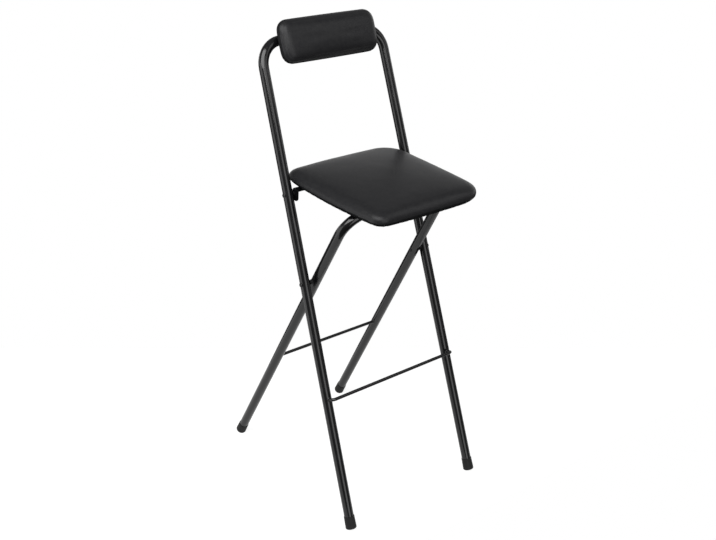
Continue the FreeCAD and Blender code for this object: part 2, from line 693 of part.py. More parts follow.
forward = Vector(0, -1, 0)
screw_level = number(FRONT_TOP)
pad_seats = [Vector(side * size["pad_screw_x"], size["front_tube"] / 2, screw_level)
             for side in (-1, 1)]
pad_holes_cut = [hole_at(seat, forward, size["front_tube"] + 2 * bite) for seat in pad_seats]
upholster("back_pad", front_frame, pad_outline,
          rim_profile("pad", 40.0), size["pad_board"], size["pad_hem"], pad_holes_cut)
make_screws("back_pad_screws", front_frame, pad_seats, forward,
            size["front_tube"] + size["leatherette"] + bite)


# Checks, then one STEP file for each sub-part

doc.recompute()
helpers = ("_blank", "_floor")
nodes = [item for item in doc.Objects
         if item.TypeId in ("PartDesign::Body", "Part::Cylinder", "Part::Cut", "Part::Feature")
         and not item.Label.endswith(helpers)]
for item in doc.Objects:
    if "Invalid" in item.State or "Error" in item.State:
        raise RuntimeError(f"{item.Label}: {item.State}")
for item in nodes:
    if item.Shape.isNull() or not item.Shape.isValid() or not item.Shape.Solids:
        raise RuntimeError(f"{item.Label}: bad shape")

os.makedirs("parts", exist_ok=True)
for item in sorted(nodes, key=lambda node: node.Label):
    item.Shape.exportStep(f"parts/{item.Label}.step")
    box = item.Shape.BoundBox
    print(f"{item.Label}: {len(item.Shape.Solids)} solid, {item.Shape.Volume / 1000:.2f} cm3,"
          f" z {box.ZMin:.1f} to {box.ZMax:.1f}")
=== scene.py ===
import json
import math

import bmesh
import bpy
import numpy as np
from mathutils import Matrix, Vector, kdtree, noise


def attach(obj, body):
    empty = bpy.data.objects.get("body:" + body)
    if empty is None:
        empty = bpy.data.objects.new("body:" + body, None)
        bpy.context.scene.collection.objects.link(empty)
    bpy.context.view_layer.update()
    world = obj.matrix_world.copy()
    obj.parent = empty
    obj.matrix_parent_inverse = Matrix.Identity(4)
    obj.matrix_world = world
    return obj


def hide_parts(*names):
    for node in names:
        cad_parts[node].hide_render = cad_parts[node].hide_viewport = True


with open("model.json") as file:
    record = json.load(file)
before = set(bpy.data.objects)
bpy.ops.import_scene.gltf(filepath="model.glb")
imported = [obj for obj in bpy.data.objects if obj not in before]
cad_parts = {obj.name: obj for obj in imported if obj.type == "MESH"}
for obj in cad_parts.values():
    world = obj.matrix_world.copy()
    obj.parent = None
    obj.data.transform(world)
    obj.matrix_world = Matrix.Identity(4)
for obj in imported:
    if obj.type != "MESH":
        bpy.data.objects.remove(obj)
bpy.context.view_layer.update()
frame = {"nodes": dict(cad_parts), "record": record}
scene = bpy.context.scene
nodes = frame["nodes"]
mm = 0.001  # pieces are drawn in millimetres and scaled by this
toMetres = Matrix.Diagonal((mm, mm, mm, 1))


# Camera, set to the photograph

camera = {
    "place": (-1.3489, -1.6933, 1.4696),
    "heading": 38.35,      # degrees from +Y towards +X
    "pitch": -22.42,
    "roll": 0.07,
    "focalPixels": 1018.9,
    "centre": (349.21, 241.96),  # where the lens axis meets the picture, in pixels
    "picture": (716, 540),
    "sensor": 36,          # mm
    "clip": (0.05, 100),
}


def addCamera(c):
    heading, pitch, roll = (math.radians(c[k]) for k in ("heading", "pitch", "roll"))
    away = Vector((math.sin(heading), math.cos(heading), 0))
    level = Vector((math.cos(heading), -math.sin(heading), 0))
    forward = away * math.cos(pitch) + Vector((0, 0, math.sin(pitch)))
    above = level.cross(forward)
    right = level * math.cos(roll) + above * math.sin(roll)
    up = above * math.cos(roll) - level * math.sin(roll)
    wide, high = c["picture"]
    data = bpy.data.cameras.new("photoCamera")
    data.sensor_width = c["sensor"]
    data.lens = c["focalPixels"] * c["sensor"] / wide
    data.shift_x = (wide / 2 - c["centre"][0]) / wide
    data.shift_y = (c["centre"][1] - high / 2) / wide
    data.clip_start, data.clip_end = c["clip"]
    holder = bpy.data.objects.new("photoCamera", data)
    turn = Matrix((right, up, -forward)).transposed().to_4x4()
    holder.matrix_world = Matrix.Translation(c["place"]) @ turn
    scene.collection.objects.link(holder)
    scene.camera = holder
    return level, away


sideways, inward = addCamera(camera)
print("camera set")


# Materials

def fromHex(code):
    # sRGB hex to linear
    out = []
    for at in (1, 3, 5):
        v = int(code[at:at + 2], 16) / 255
        out.append(v / 12.92 if v <= 0.04045 else ((v + 0.055) / 1.055) ** 2.4)
    return (*out, 1.0)


def addNode(tree, kind, settings=None, links=None):
    # a setting is the node's own, or the value of a socket named by its label or number
    node = tree.nodes.new(kind)
    for key, value in (settings or {}).items():
        if isinstance(key, str) and hasattr(node, key):
            setattr(node, key, value)
        else:
            node.inputs[key].default_value = value
    for key, source in (links or {}).items():
        tree.links.new(source, node.inputs[key])
    return node


def noiseOf(tree, place, size, settings):
    # size in mm
    return addNode(tree, "ShaderNodeTexNoise", {"Scale": 1 / (size * mm), **settings}, {"Vector": place})


def drawnNoise(tree, place, sizes, settings):
    # noise drawn out to its own size in mm along X, Y and Z
    scaled = addNode(tree, "ShaderNodeMapping", {"Scale": [1 / (s * mm) for s in sizes]}, {"Vector": place})
    return addNode(tree, "ShaderNodeTexNoise", {"Scale": 1.0, **settings}, {"Vector": scaled.outputs[0]})


def cellsOf(tree, place, size, settings):
    # size in mm
    return addNode(tree, "ShaderNodeTexVoronoi", {**settings, "Scale": 1 / (size * mm)}, {"Vector": place})


def ranged(tree, source, given, wanted):
    # the given range of a value laid on the wanted one
    return addNode(tree, "ShaderNodeMapRange", {1: given[0], 2: given[1], 3: wanted[0], 4: wanted[1]},
                   {0: source}).outputs[0]


def worked(tree, operation, first, second):
    # second is a socket or a plain number
    node = addNode(tree, "ShaderNodeMath", {"operation": operation}, {0: first})
    if isinstance(second, float):
        node.inputs[1].default_value = second
    else:
        tree.links.new(second, node.inputs[1])
    return node.outputs[0]


def mixColours(tree, factor, first, second):
    return addNode(tree, "ShaderNodeMix", {"data_type": "RGBA", 6: fromHex(first), 7: fromHex(second)},
                   {0: factor}).outputs[2]


def bumped(tree, height, strength, depth, settings=None, links=None):
    # depth in mm
    both = {"Strength": strength, "Distance": depth * mm, **(settings or {})}
    return addNode(tree, "ShaderNodeBump", both, {"Height": height, **(links or {})}).outputs[0]


def newMaterial(name, settings):
    material = bpy.data.materials.new(name)
    material.use_nodes = True
    tree = material.node_tree
    shader = tree.nodes["Principled BSDF"]
    for key, value in settings.items():
        shader.inputs[key].default_value = value
    place = addNode(tree, "ShaderNodeTexCoord").outputs["Object"]
    return material, tree, shader, place


def connect(tree, shader, sources):
    for key, source in sources.items():
        tree.links.new(source, shader.inputs[key])


mostNoise = (0.3, 0.7)  # where nearly all values of a noise texture lie

# Gloss powder-coated steel: baked polyester over tube, deep black with a faint orange peel
# that ripples the long reflections.
powderCoat = {
    "deep": "#0b0b0c", "worn": "#17171a",
    "roughness": (0.11, 0.19),
    "peelSize": 1.6,    # mm; real peel is about 0.8 mm, drawn coarser so that it shows
    "peelDepth": 0.06,  # mm
    "scuffSize": 38.0,  # mm between the duller patches left by handling
    "scuffed": (0.5, 0.72),  # noise values where the wear begins and is full
    "wear": 0.6,
}


def makePowderCoat(v):
    material, tree, shader, place = newMaterial("gloss powder-coated steel", {"IOR": 1.5, "Metallic": 0.0})
    scuff = noiseOf(tree, place, v["scuffSize"], {"Detail": 4.0, "Roughness": 0.6}).outputs[0]
    peel = noiseOf(tree, place, v["peelSize"], {"Detail": 1.5, "Roughness": 0.4}).outputs[0]
    worn = ranged(tree, scuff, v["scuffed"], (0.0, v["wear"]))
    connect(tree, shader, {
        "Base Color": mixColours(tree, worn, v["deep"], v["worn"]),
        "Roughness": ranged(tree, scuff, mostNoise, v["roughness"]),
        "Normal": bumped(tree, peel, 0.35, v["peelDepth"])})
    return material


# PU leather: a polyurethane skin embossed with a fine pebble grain, stretched over foam.
# Gives a soft broad sheen. Its copy under the rim is a little paler in colour but has no shine, and stands
# in for shade there.
puLeather = {
    "base": "#18181a", "pale": "#1f1f20",
    "roughness": (0.37, 0.45),
    "specular": 0.25, "sheen": 0.015,
    "grainSize": 1.7,    # mm; the embossed pebbles are about 1 mm, drawn coarser so that they show
    "grainDepth": 0.09,  # mm
    "wanderSize": 6.0,   # mm between the bends of the pebbles' rows
    "wander": 0.0012,    # share of that bending
    "creaseSize": 34.0,  # mm between the soft creases of the stretched skin
    "creaseDepth": 0.5,  # mm
    "mottleSize": 9.0,   # mm between the paler patches
    "mottled": (0.35, 0.75),  # noise values where the paler tone begins and is full
}
# The same skin where it is pulled round the board, drawn without the shine of the face as painted shade,
# so it reads as a dark line under the rim where shade falls.
shadedEdgeLeather = {
    **puLeather,
    "base": "#1a1a1b", "pale": "#212122",
    "roughness": (0.5, 0.58),
    "specular": 0.0, "sheen": 0.0,
}


def makeLeather(name, v):
    material, tree, shader, place = newMaterial(name, {
        "IOR": 1.46, "Metallic": 0.0, "Specular IOR Level": v["specular"],
        "Sheen Weight": v["sheen"], "Sheen Roughness": 0.5})
    bend = noiseOf(tree, place, v["wanderSize"], {"Detail": 2.0})
    wander = addNode(tree, "ShaderNodeMix", {"data_type": "VECTOR", 0: v["wander"]},
                     {4: place, 5: bend.outputs["Color"]})
    cells = cellsOf(tree, wander.outputs[1], v["grainSize"], {"feature": "SMOOTH_F1", "Smoothness": 0.45})
    pebbles = cells.outputs["Distance"]
    crease = noiseOf(tree, place, v["creaseSize"], {"Detail": 3.0, "Roughness": 0.45, "Distortion": 0.6})
    mottle = noiseOf(tree, place, v["mottleSize"], {"Detail": 5.0, "Roughness": 0.6})
    tone = ranged(tree, mottle.outputs[0], v["mottled"], (0.0, 1.0))
    soft = bumped(tree, crease.outputs[0], 0.12, v["creaseDepth"])
    connect(tree, shader, {
        "Base Color": mixColours(tree, tone, v["base"], v["pale"]),
        "Roughness": ranged(tree, pebbles, (0.0, 0.8), v["roughness"][::-1]),
        "Normal": bumped(tree, pebbles, 0.28, v["grainDepth"], {"invert": True}, {"Normal": soft})})
    return material


# Moulded rubber: matte black, with the fine tooth of the mould and dust in the lower part.
mouldedRubber = {
    "base": "#0b0b0b", "dusty": "#1c1b1a",
    "roughness": (0.55, 0.69),
    "toothSize": 0.9, "toothDepth": 0.05,  # mm
    "dustSize": 7.0,  # mm between the patches of dust
    "dustTop": 20.0,  # mm above the floor where the dust ends
    "dust": 0.55,
}


def makeRubber(v):
    material, tree, shader, place = newMaterial("moulded rubber", {"IOR": 1.5, "Specular IOR Level": 0.3})
    tooth = noiseOf(tree, place, v["toothSize"], {"Detail": 3.0}).outputs[0]
    dust = noiseOf(tree, place, v["dustSize"], {"Detail": 4.0, "Roughness": 0.65}).outputs[0]
    height = addNode(tree, "ShaderNodeSeparateXYZ", {}, {0: place}).outputs["Z"]
    low = ranged(tree, height, (0.0, v["dustTop"] * mm), (v["dust"], 0.0))
    connect(tree, shader, {
        "Base Color": mixColours(tree, worked(tree, "MULTIPLY", dust, low), v["base"], v["dusty"]),
        "Roughness": ranged(tree, dust, mostNoise, v["roughness"]),
        "Normal": bumped(tree, tooth, 0.5, v["toothDepth"])})
    return material


# Black-oxide pressed steel: the bracket, rivets and washers, satin with a fine drawn grain
# and a little bare metal where the pieces rub.
blackOxide = {
    "base": "#101011", "rubbed": "#2a2a2c",
    "roughness": (0.34, 0.5),
    "grain": (9.0, 0.7, 0.7), "grainDepth": 0.03,  # mm
    "patchSize": 11.0,      # mm between the rubbed patches
    "worn": (0.52, 0.75),   # noise values where the rubbing begins and is full
    "bare": 0.8,
}


def makeBlackOxide(v):
    material, tree, shader, place = newMaterial("black-oxide pressed steel", {"IOR": 1.5, "Metallic": 0.35})
    grain = drawnNoise(tree, place, v["grain"], {"Detail": 3.0}).outputs[0]
    patch = noiseOf(tree, place, v["patchSize"], {"Detail": 5.0, "Roughness": 0.7}).outputs[0]
    rubbed = ranged(tree, patch, v["worn"], (0.0, v["bare"]))
    connect(tree, shader, {
        "Base Color": mixColours(tree, rubbed, v["base"], v["rubbed"]),
        "Roughness": ranged(tree, grain, mostNoise, v["roughness"]),
        "Normal": bumped(tree, grain, 0.4, v["grainDepth"])})
    return material


# Zinc-plated steel: turned screws, a pale bluish metal with a fine spangle.
zincPlate = {
    "base": "#b9bcc0", "dull": "#8d9196",
    "roughness": (0.24, 0.4),
    "spangleSize": 1.2, "cloudSize": 3.0,  # mm
}


def makeZinc(v):
    material, tree, shader, place = newMaterial("zinc-plated steel", {"Metallic": 1.0})
    spangle = cellsOf(tree, place, v["spangleSize"], {}).outputs["Distance"]
    cloud = noiseOf(tree, place, v["cloudSize"], {"Detail": 4.0}).outputs[0]
    connect(tree, shader, {
        "Base Color": mixColours(tree, cloud, v["base"], v["dull"]),
        "Roughness": ranged(tree, spangle, (0.0, 1.0), v["roughness"])})
    return material


# Non-woven polypropylene: the thin felt under the cushions, pressed with a grid of small bonds.
nonWoven = {
    "base": "#161617", "fibre": "#27272a",
    "roughness": (0.75, 0.93),
    "bondPitch": 2.2,  # mm; real bonds are 1.2 mm apart, drawn coarser so that they show
    "bondEdge": (0.15, 0.4),  # from a bond's middle to its edge, in bond pitches
    "bondDepth": 0.2, "fibreSize": 1.1,  # mm
}


def makeNonWoven(v):
    material, tree, shader, place = newMaterial("non-woven polypropylene", {
        "IOR": 1.49, "Specular IOR Level": 0.25, "Sheen Weight": 0.2, "Sheen Roughness": 0.6})
    bonds = cellsOf(tree, place, v["bondPitch"], {"Randomness": 0.15}).outputs["Distance"]
    fibre = noiseOf(tree, place, v["fibreSize"], {"Detail": 6.0, "Roughness": 0.7, "Distortion": 1.5})
    dents = ranged(tree, bonds, v["bondEdge"], (0.0, 1.0))
    felted = worked(tree, "MULTIPLY", dents, fibre.outputs[0])
    connect(tree, shader, {
        "Base Color": mixColours(tree, felted, v["base"], v["fibre"]),
        "Roughness": ranged(tree, dents, (0.0, 1.0), v["roughness"]),
        "Normal": bumped(tree, felted, 0.6, v["bondDepth"])})
    return material


# Birch plywood: rotary-cut veneers, pale cream with long grain and darker glue lines on the edge.
birchPly = {
    "pale": "#d9be94", "dark": "#b48f5f",
    "roughness": (0.52, 0.68),
    "grain": (36.0, 3.0, 1.5), "grainDepth": 0.15,  # mm
}


def makePlywood(v):
    material, tree, shader, place = newMaterial("birch plywood", {"IOR": 1.5, "Specular IOR Level": 0.35})
    grained = drawnNoise(tree, place, v["grain"], {"Detail": 6.0, "Roughness": 0.6, "Distortion": 0.4})
    grain = grained.outputs[0]
    connect(tree, shader, {
        "Base Color": mixColours(tree, grain, v["pale"], v["dark"]),
        "Roughness": ranged(tree, grain, mostNoise, v["roughness"]),
        "Normal": bumped(tree, grain, 0.4, v["grainDepth"])})
    return material


# Moulded nylon: the saddles, low gloss, with the slight cloudiness of the moulding.
mouldedNylon = {
    "base": "#19191a", "pale": "#242425",
    "roughness": (0.42, 0.54),
    "flowSize": 16.0, "toothSize": 0.8, "toothDepth": 0.04,  # mm
}


def makeNylon(v):
    material, tree, shader, place = newMaterial("moulded nylon", {"IOR": 1.53})
    flow = noiseOf(tree, place, v["flowSize"], {"Detail": 3.0, "Distortion": 1.0}).outputs[0]
    tooth = noiseOf(tree, place, v["toothSize"], {"Detail": 2.0}).outputs[0]
    connect(tree, shader, {
        "Base Color": mixColours(tree, flow, v["base"], v["pale"]),
        "Roughness": ranged(tree, flow, mostNoise, v["roughness"]),
        "Normal": bumped(tree, tooth, 0.4, v["toothDepth"])})
    return material


powder = makePowderCoat(powderCoat)
leather = makeLeather("black PU leather", puLeather)
# a copy of the leather without shine, used as painted shade under the rim
leatherPaintedShade = makeLeather("black PU leather, painted shade under rim", shadedEdgeLeather)

finishOf = {
    "black_powder_coat": powder,
    "hinge_steel": makeBlackOxide(blackOxide),
    "rubber": makeRubber(mouldedRubber),
    "leatherette": leather,
    "foam": leather,
    "plywood": makePlywood(birchPly),
    "lining": makeNonWoven(nonWoven),
    "screw_steel": makeZinc(zincPlate),
    "nylon": makeNylon(mouldedNylon),
}
for part in frame["record"]["subparts"]:
    for holder in nodes[part["node"]].material_slots:
        holder.material = finishOf[part["material_slot"]]
print("materials on", len(nodes), "solid parts")


# Places that the new pieces are drawn in, in millimetres, with +Z up the leg or out of the cushion

lean = {"seat": 3.9, "frontFrame": -18.16, "rearFrame": 30.49}  # degrees about X
pivots = {joint["name"]: joint["pos_m"] for joint in frame["record"]["behaviour"]["joints"]}


def placeAt(pivot, angle):
    return Matrix.Translation(pivots[pivot]) @ Matrix.Rotation(math.radians(angle), 4, "X") @ toMetres


seatPlace = placeAt("seat_fold", lean["seat"])
frontPlace = placeAt("rear_frame_fold", lean["frontFrame"])
rearPlace = placeAt("rear_frame_fold", lean["rearFrame"])
outOfBack = Matrix(((1, 0, 0, 0), (0, 0, -1, 0), (0, 1, 0, 0), (0, 0, 0, 1)))  # pad's face looks forwards


# Skins of the two cushions

# small shapes that both have, in millimetres
skin = {
    "sideSteps": 160, "cornerSteps": 60,  # steps that a side and a corner of an outline are worked out in
    "leastBow": 0.05,      # a straight side is a very wide arc
    "tighten": 0.6,        # how much smaller a corner's radius gets for each millimetre further in
    "ringPoints": 420,     # points round each ring of the starting form
    "arcStep": 9,          # degrees between the rings of the rounded rim
    "linePoints": 1200,    # points round the outline that the finished skin is measured from
    "cornerSpan": 6,       # over so many of them
    "cornerTurn": 0.02,    # the outline turns more than this at a corner, in radians
    "pleatShare": (0.45, 1.0),   # depth of one pleat against the deepest
    "pleatDrift": (0.65, 1.35),  # step to the next pleat against an even one
    "pleatFade": 0.7,      # share of the band in which pleats run out upwards
    "hemFade": 8.0,        # and the way before the hem in which they run out underneath
    "pleatDip": 0.55,      # rise of a pleat on the underside against its depth
    "bandEdge": (1.0, 2.5),      # how far over the band's top, and how softly, the skin comes out again
    "bandReach": (10.0, 4.0),    # how far under the band goes, and how softly it ends
    "creaseWidth": 1.7,    # crease at the band's top
    "lineWidth": 1.9,      # line pressed in along the edge of the face
    "lineWave": 26.0,      # length of the waves in its depth
    "linePress": (0.7, 0.6),  # even part and wavy part of its depth
    "dents": ((55.0, 3.1, 0.35), (21.0, 7.7, 0.10)),  # size, layer of the noise and share
    "lap": 3.0,            # the hem lies flat this far each side of the lining's edge
    "sink": 0.9,           # then it goes up into the board
}

# light stretchy cloth under air pressure
clothSim = {
    "frames": 20, "quality": 5, "mass": 0.25,
    "stiffness": 18.0, "shear": 0.4,  # shear against the stiffness
    "bending": 2.0, "pressure": 4.0,
    "stapledBelow": 1.0,   # mm; the underside up to here is held
}


def onCircle(centre, radius, towards):
    return centre + (towards - centre) / np.hypot(*(towards - centre)) * radius


def sideArc(start, end, bow):
    # middle and radius of a side that bows out by so much
    half = np.hypot(*(end - start)) / 2
    bow = max(bow, skin["leastBow"])
    radius = (half ** 2 + bow ** 2) / (2 * bow)
    out = np.array([end[1] - start[1], start[0] - end[0]]) / (2 * half)
    return (start + end) / 2 + out * (bow - radius), radius


def cornerCentre(before, after, radius, corner):
    # middle of the round corner that touches both sides from inside
    (first, r1), (second, r2) = before, after
    a, b = r1 - radius, r2 - radius
    reach = np.hypot(*(second - first))
    unit = (second - first) / reach
    along = (a * a - b * b + reach * reach) / (2 * reach)
    across = math.sqrt(max(a * a - along * along, 0))
    normal = np.array([-unit[1], unit[0]])
    both = [first + unit * along + normal * s * across for s in (-1, 1)]
    return min(both, key=lambda p: np.hypot(*(p - corner)))


def sweepArc(centre, radius, start, end, steps):
    low = math.atan2(*(start - centre)[::-1])
    turn = (math.atan2(*(end - centre)[::-1]) - low) % (2 * math.pi)
    angles = low + turn * np.arange(steps) / steps
    return centre + radius * np.column_stack([np.cos(angles), np.sin(angles)])


def bowedOutline(corners, bows, radii, count):
    # four bowed sides and tangent round corners, as evenly spaced points, and their length
    corners = [np.array(c, float) for c in corners]
    sides = [sideArc(corners[i], corners[(i + 1) % 4], bows[i]) for i in range(4)]
    rounds = [cornerCentre(sides[i - 1], sides[i], radii[i], corners[i]) for i in range(4)]
    stretches = []
    for i in range(4):
        j = (i + 1) % 4
        leave, arrive = (onCircle(*sides[i], towards) for towards in (rounds[i], rounds[j]))
        onward = onCircle(*sides[j], rounds[j])
        stretches.append(sweepArc(*sides[i], leave, arrive, skin["sideSteps"]))
        stretches.append(sweepArc(rounds[j], radii[j], arrive, onward, skin["cornerSteps"]))
    line = np.vstack([*stretches, stretches[0][:1]])
    length = np.concatenate([[0], np.cumsum(np.hypot(*np.diff(line, axis=0).T))])
    at = np.linspace(0, length[-1], count, endpoint=False)
    return np.stack([np.interp(at, length, line[:, k]) for k in (0, 1)], 1), length[-1]


def evenDome(v, line):
    # share of the crown at a plan point, nothing at the edge and 1 in the middle
    x, y = ((line - v["middle"]) / v["halfSize"]).T
    return (np.clip(1 - x * x, 0, 1) * np.clip(1 - y * y, 0, 1)) ** v["domePower"]


def skinFrom(name, rings, bottom, top):
    # one closed skin over equal rings, fanned to a point at each end
    count = len(rings[0])
    points = [tuple(p) for ring in rings for p in ring] + [bottom, top]
    low, high = len(points) - 2, len(points) - 1
    last = (len(rings) - 1) * count
    following = [(k + 1) % count for k in range(count)]
    faces = []
    for r in range(0, last, count):
        for k, n in enumerate(following):
            faces.append((r + k, r + n, r + count + n, r + count + k))
    for k, n in enumerate(following):
        faces.append((n, k, low))
        faces.append((last + k, last + n, high))
    mesh = bpy.data.meshes.new(name)
    mesh.from_pydata(points, [], faces)
    mesh.update()
    piece = bpy.data.objects.new(name, mesh)
    scene.collection.objects.link(piece)
    return piece


def evaluatedOf(piece):
    return piece.evaluated_get(bpy.context.evaluated_depsgraph_get())


def applyAll(piece):
    # the evaluated mesh takes the place of the piece's own
    seen = bpy.data.meshes.new_from_object(evaluatedOf(piece))
    piece.modifiers.clear()
    old = piece.data
    piece.data = seen
    bpy.data.meshes.remove(old)


def readPoints(mesh):
    out = np.zeros(len(mesh.vertices) * 3)
    mesh.vertices.foreach_get("co", out)
    return out.reshape(-1, 3)


def writePoints(mesh, points):
    mesh.vertices.foreach_set("co", np.asarray(points, np.float32).ravel())
    mesh.update()


def ease(x):
    x = np.clip(x, 0, 1)
    return x * x * (3 - 2 * x)


def buildCushion(name, v):
    # starting form, a little slack, remeshed into even cells
    slack, tuck, waist = v["slack"], v["tuck"], v["waist"]
    rim = v["rim"] - slack
    shoulder = rim - waist
    over = shoulder * v["roundOver"]

    def ring(inset, level):
        line, _ = v["outline"](v, inset + slack, skin["ringPoints"])
        domed = evenDome(v, line) * v["crown"] if level >= waist else 0
        return np.column_stack([line, np.full(len(line), level) + domed])

    quarter = [math.radians(step) for step in range(0, 91, skin["arcStep"])]
    rings = [ring(inset, 0.0) for inset in v["underRings"]]
    rings += [ring(tuck * (1 - math.cos(a)), waist - waist * math.sin(a)) for a in quarter[:0:-1]]
    rings += [ring(over * (1 - math.cos(a)), waist + shoulder * math.sin(a)) for a in quarter]
    rings += [ring(inset, rim) for inset in v["topRings"]]
    piece = skinFrom(name, rings, (*v["middle"], 0.0), (*v["middle"], rim + v["crown"]))
    piece.data.transform(toMetres)
    remesh = piece.modifiers.new("even cells", "REMESH")
    remesh.mode = "VOXEL"
    remesh.voxel_size = v["cell"] * mm
    applyAll(piece)
    return piece


def runCloth(piece, v):
    # air pressure against the skin while its underside is held where it is stapled
    start = readPoints(piece.data)
    held = piece.vertex_groups.new(name="stapled")
    held.add(np.nonzero(start[:, 2] < v["stapledBelow"] * mm)[0].tolist(), 1.0, "REPLACE")
    cloth = piece.modifiers.new("cover", "CLOTH")
    s = cloth.settings
    s.quality = v["quality"]
    s.mass = v["mass"]
    s.tension_stiffness = s.compression_stiffness = v["stiffness"]
    s.shear_stiffness = v["stiffness"] * v["shear"]
    s.bending_stiffness = v["bending"]
    s.effector_weights.gravity = 0.0
    s.use_pressure = True
    s.uniform_pressure_force = v["pressure"]
    s.vertex_group_mass = "stapled"
    cloth.collision_settings.use_collision = False
    cloth.collision_settings.use_self_collision = False
    for step in range(1, v["frames"] + 1):
        scene.frame_set(step)
    moved = readPoints(evaluatedOf(piece).data)
    piece.modifiers.clear()
    scene.frame_set(1)
    return start, moved - start


def evenOut(mesh, shift, rounds):
    # each point's step drawn halfway to the mean of its neighbours', so that no small ripples stay
    lines = np.zeros(len(mesh.edges) * 2, np.int32)
    mesh.edges.foreach_get("vertices", lines)
    one, other = lines.reshape(-1, 2).T
    count = np.bincount(lines, minlength=len(shift))[:, None]
    for _ in range(rounds):
        near = np.zeros_like(shift)
        np.add.at(near, one, shift[other])
        np.add.at(near, other, shift[one])
        shift = 0.5 * shift + 0.5 * near / count
    return shift


def puffUp(piece, v):
    # the swelling of the cloth, less sideways and never past the cap
    start, shift = runCloth(piece, clothSim)
    shift[:, :2] *= v["spread"]
    length = np.maximum(np.linalg.norm(shift, axis=1, keepdims=True), 1e-9)
    cap = v["cap"] * mm
    shift *= cap * np.tanh(length / cap) / length
    writePoints(piece.data, start + evenOut(piece.data, shift, v["evenSwell"]))
    print(piece.name, "puffed by up to", round(float(length.max()) / mm, 1), "mm, kept under", v["cap"])


def besideOutline(v, points):
    # for each point how far round the outline it is, how far inside, and the way out there,
    # then how much the outline turns at each of its own points, and its length
    line, around = v["outline"](v, 0.0, skin["linePoints"])
    tangent = np.roll(line, -1, 0) - np.roll(line, 1, 0)
    normal = np.stack([tangent[:, 1], -tangent[:, 0]], 1)
    normal /= np.linalg.norm(normal, axis=1, keepdims=True)
    ahead = np.roll(normal, -skin["cornerSpan"], 0)
    turning = np.abs(normal[:, 0] * ahead[:, 1] - normal[:, 1] * ahead[:, 0])
    tree = kdtree.KDTree(len(line))
    for i, p in enumerate(line):
        tree.insert((*p, 0), i)
    tree.balance()
    found = [tree.find((x, y, 0)) for x, y, _ in points]
    nearest = np.array([i for _, i, _ in found])
    away = np.array([gap for _, _, gap in found])
    out = normal[nearest]
    outside = np.sum((points[:, :2] - line[nearest]) * out, axis=1) >= 0
    return nearest * around / len(line), np.where(outside, -away, away), out, turning, around


def pleatDepth(v, where, turning, around):
    # narrow valleys at uneven steps round the skirt, closer together at the corners
    rng = np.random.default_rng(v["seed"])
    alongSide, atCorner = v["pleatStep"]
    depth = np.zeros(len(where))
    at = 0.0
    while at < around:
        bend = turning[int(at / around * len(turning)) % len(turning)]
        share = rng.uniform(*skin["pleatShare"])
        width = rng.uniform(*v["pleatWidth"])
        gap = (where - at + around / 2) % around - around / 2
        depth = np.maximum(depth, share * np.exp(-(gap / width) ** 2))
        at += (atCorner if bend > skin["cornerTurn"] else alongSide) * rng.uniform(*skin["pleatDrift"])
    return depth * v["pleatDepth"]


def faceNoise(points, size, layer):
    return np.array([noise.noise(Vector((x / size, y / size, layer))) for x, y, _ in points])


def dressCushion(piece, v):
    # one subdivision, then the stapled skirt, the marks of the face and the lap under the lining
    even = piece.modifiers.new("evened", "SMOOTH")
    even.factor, even.iterations = 0.5, v["evened"]
    finer = piece.modifiers.new("finer", "SUBSURF")
    finer.levels = finer.render_levels = 1
    applyAll(piece)
    points = readPoints(piece.data) / mm
    where, inset, out, turning, around = besideOutline(v, points)

    # pleats, deepest just above the hem
    fade = ease((v["bandTop"] - points[:, 2]) / (v["bandTop"] * skin["pleatFade"]))
    fade *= ease((v["hem"] - inset) / skin["hemFade"])
    drawn = pleatDepth(v, where, turning, around) * fade
    points[:, :2] -= out * drawn[:, None]
    points[:, 2] += np.where(points[:, 2] < v["waist"] / 2, drawn * skin["pleatDip"], 0)

    # the skin is drawn in round the board, which leaves a crease over it
    above, softly = skin["bandEdge"]
    under, ending = skin["bandReach"]
    band = v["bandInset"] * ease((v["bandTop"] + above - points[:, 2]) / softly)
    band += v["creaseDepth"] * np.exp(-((points[:, 2] - v["bandTop"]) / skin["creaseWidth"]) ** 2)
    band *= ease((under - inset) / ending)
    points[:, :2] -= out * band[:, None]

    # line pressed in just inside the edge of the face, and the soft unevenness of foam
    face = points[:, 2] > v["waist"]
    if "lineDepth" in v:
        steady, wavy = skin["linePress"]
        press = steady + wavy * faceNoise(points[face], skin["lineWave"], v["seed"])
        press *= v["lineDepth"] * np.exp(-((inset[face] - v["lineInset"]) / skin["lineWidth"]) ** 2)
        points[face, 2] -= press
    for size, layer, share in skin["dents"]:
        points[face, 2] += faceNoise(points[face], size, layer + v["seed"]) * share * v["uneven"]

    # the hem lies flat, and inside the lining's edge the skin is hidden in the board
    low = points[:, 2] < v["waist"] / 2
    points[low & (inset > v["hem"] - skin["lap"]), 2] = v["underLevel"]
    points[low & (inset > v["hem"] + skin["lap"]), 2] = v["underLevel"] + skin["sink"]
    writePoints(piece.data, points * mm)


def finishCushion(piece, v, place):
    piece.data.materials.append(leather)
    piece.data.materials.append(leatherPaintedShade)
    # faces below this height take the shineless copy of the leather: painted shade under the rim
    for face in piece.data.polygons:
        face.material_index = int(face.center.z < v["edgeTop"] * mm)
    piece.data.transform(place @ toMetres.inverted())
    piece.data.shade_smooth()


def makeCushion(name, v, place):
    piece = buildCushion(name, v)
    puffUp(piece, v)
    dressCushion(piece, v)
    finishCushion(piece, v, place)
    print(name, "made,", len(piece.data.vertices), "points")
    return piece


# Seat cushion

